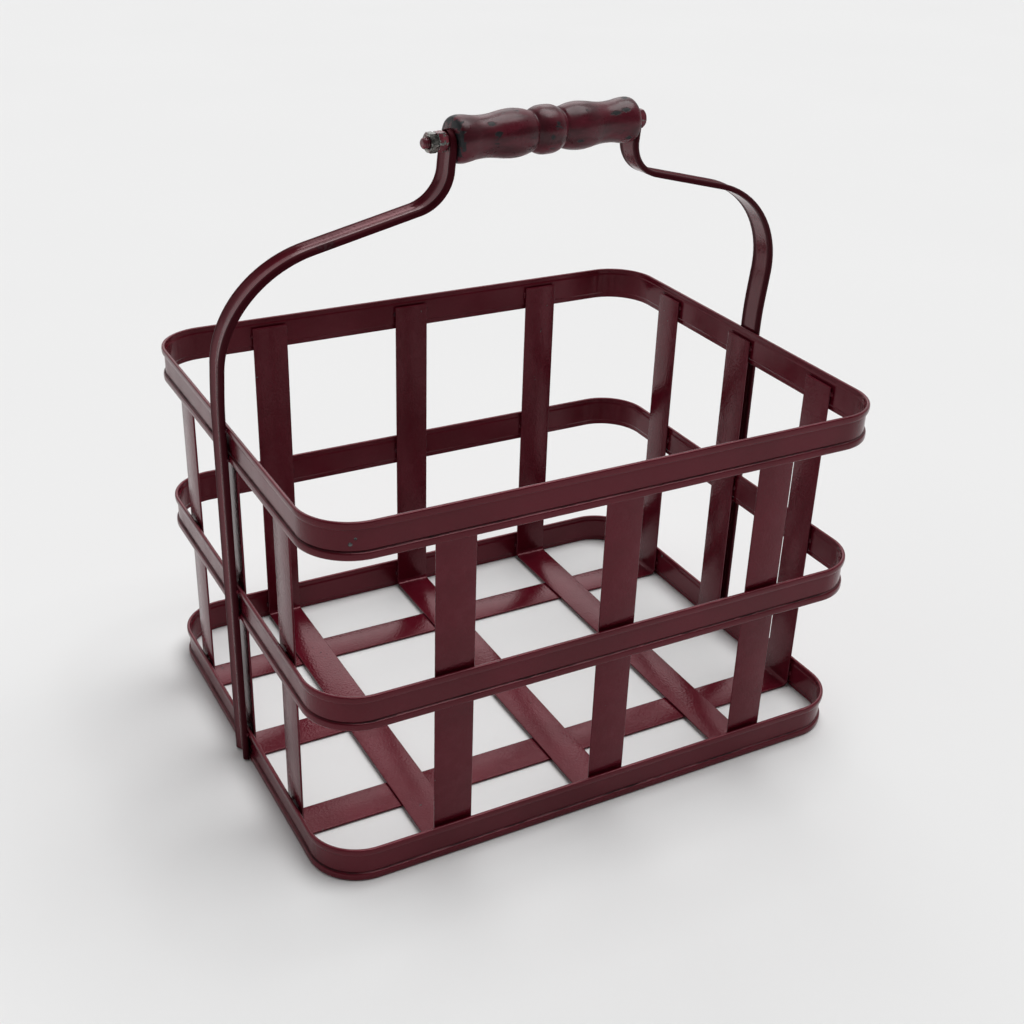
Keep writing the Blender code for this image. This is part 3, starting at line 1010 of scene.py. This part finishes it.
def studio_room():
    """A pale backdrop behind, a dim room in front and one bright bank behind.

    A ray straight from the camera sees one plain tone, and the Standard view transform shows it pale."""
    world = bpy.data.worlds.new("studio")
    world.use_nodes = True
    tree = world.node_tree
    background = tree.nodes["Background"]
    background.inputs["Color"].default_value = (1, 1, 1, 1)
    place = tree.nodes.new("ShaderNodeTexCoord").outputs["Generated"]

    def ranged(value, low, high, out_low, out_high):
        node = tree.nodes.new("ShaderNodeMapRange")
        node.interpolation_type = "SMOOTHSTEP"
        tree.links.new(value, node.inputs["Value"])
        limits = {"From Min": low, "From Max": high, "To Min": out_low, "To Max": out_high}
        for socket, number in limits.items():
            node.inputs[socket].default_value = number
        return node.outputs["Result"]

    def joined(operation, first, second):
        node = tree.nodes.new("ShaderNodeMath")
        node.operation = operation
        tree.links.new(first, node.inputs[0])
        tree.links.new(second, node.inputs[1])
        return node.outputs[0]

    split = tree.nodes.new("ShaderNodeSeparateXYZ")
    tree.links.new(place, split.inputs[0])
    shade = ranged(split.outputs["Y"], *ROOM_REACH, ROOM_FRONT, ROOM_BACK)
    dimmed = joined("MULTIPLY", shade, ranged(split.outputs["Z"], *ROOM_RISE, 1.0, ROOM_TOP))
    bank = tree.nodes.new("ShaderNodeVectorMath")
    bank.operation = "DOT_PRODUCT"
    bank.inputs[1].default_value = Vector(BANK_FROM).normalized()
    tree.links.new(place, bank.inputs[0])
    outer = math.cos(math.radians(BANK_SPREAD + BANK_SOFT))
    inner = math.cos(math.radians(BANK_SPREAD))
    total = joined("ADD", dimmed, ranged(bank.outputs["Value"], outer, inner, 0.0, BANK_BRIGHT))
    pick = tree.nodes.new("ShaderNodeMix")
    pick.data_type = "FLOAT"
    tree.links.new(tree.nodes.new("ShaderNodeLightPath").outputs["Is Camera Ray"], pick.inputs["Factor"])
    tree.links.new(total, pick.inputs["A"])
    pick.inputs["B"].default_value = BACKDROP
    tree.links.new(pick.outputs["Result"], background.inputs["Strength"])
    bpy.context.scene.world = world
    bpy.context.scene.view_settings.view_transform = "Standard"


def overhead_light():
    light = bpy.data.lights.new("softbox", "SUN")
    light.energy = SOFTBOX_POWER
    light.angle = math.radians(SOFTBOX_SPREAD)
    body = bpy.data.objects.new("softbox", light)
    body.rotation_euler = Vector(SOFTBOX_FROM).to_track_quat("Z", "Y").to_euler()
    bpy.context.scene.collection.objects.link(body)


def camera():
    azimuth = math.radians(CAMERA_AZIMUTH)
    elevation = math.radians(CAMERA_ELEVATION)
    roll = math.radians(CAMERA_ROLL)
    back = Vector(
        (
            math.sin(azimuth) * math.cos(elevation),
            -math.cos(azimuth) * math.cos(elevation),
            math.sin(elevation),
        )
    )
    right = UP.cross(back).normalized()
    over = back.cross(right)
    right, over = (
        right * math.cos(roll) + over * math.sin(roll),
        over * math.cos(roll) - right * math.sin(roll),
    )
    place = Vector((0, 0, CAMERA_TARGET_Z)) + back * CAMERA_DISTANCE
    place -= right * CAMERA_SIDE + over * CAMERA_RISE
    data = bpy.data.cameras.new("camera")
    data.sensor_width = SENSOR
    data.lens = SENSOR * FOCAL_TO_WIDTH
    data.clip_start = 0.01
    body = bpy.data.objects.new("camera", data)
    body.matrix_world = Matrix.Translation(place) @ Matrix((right, over, back)).transposed().to_4x4()
    bpy.context.scene.collection.objects.link(body)
    bpy.context.scene.camera = body


stage()
studio_room()
overhead_light()
camera()
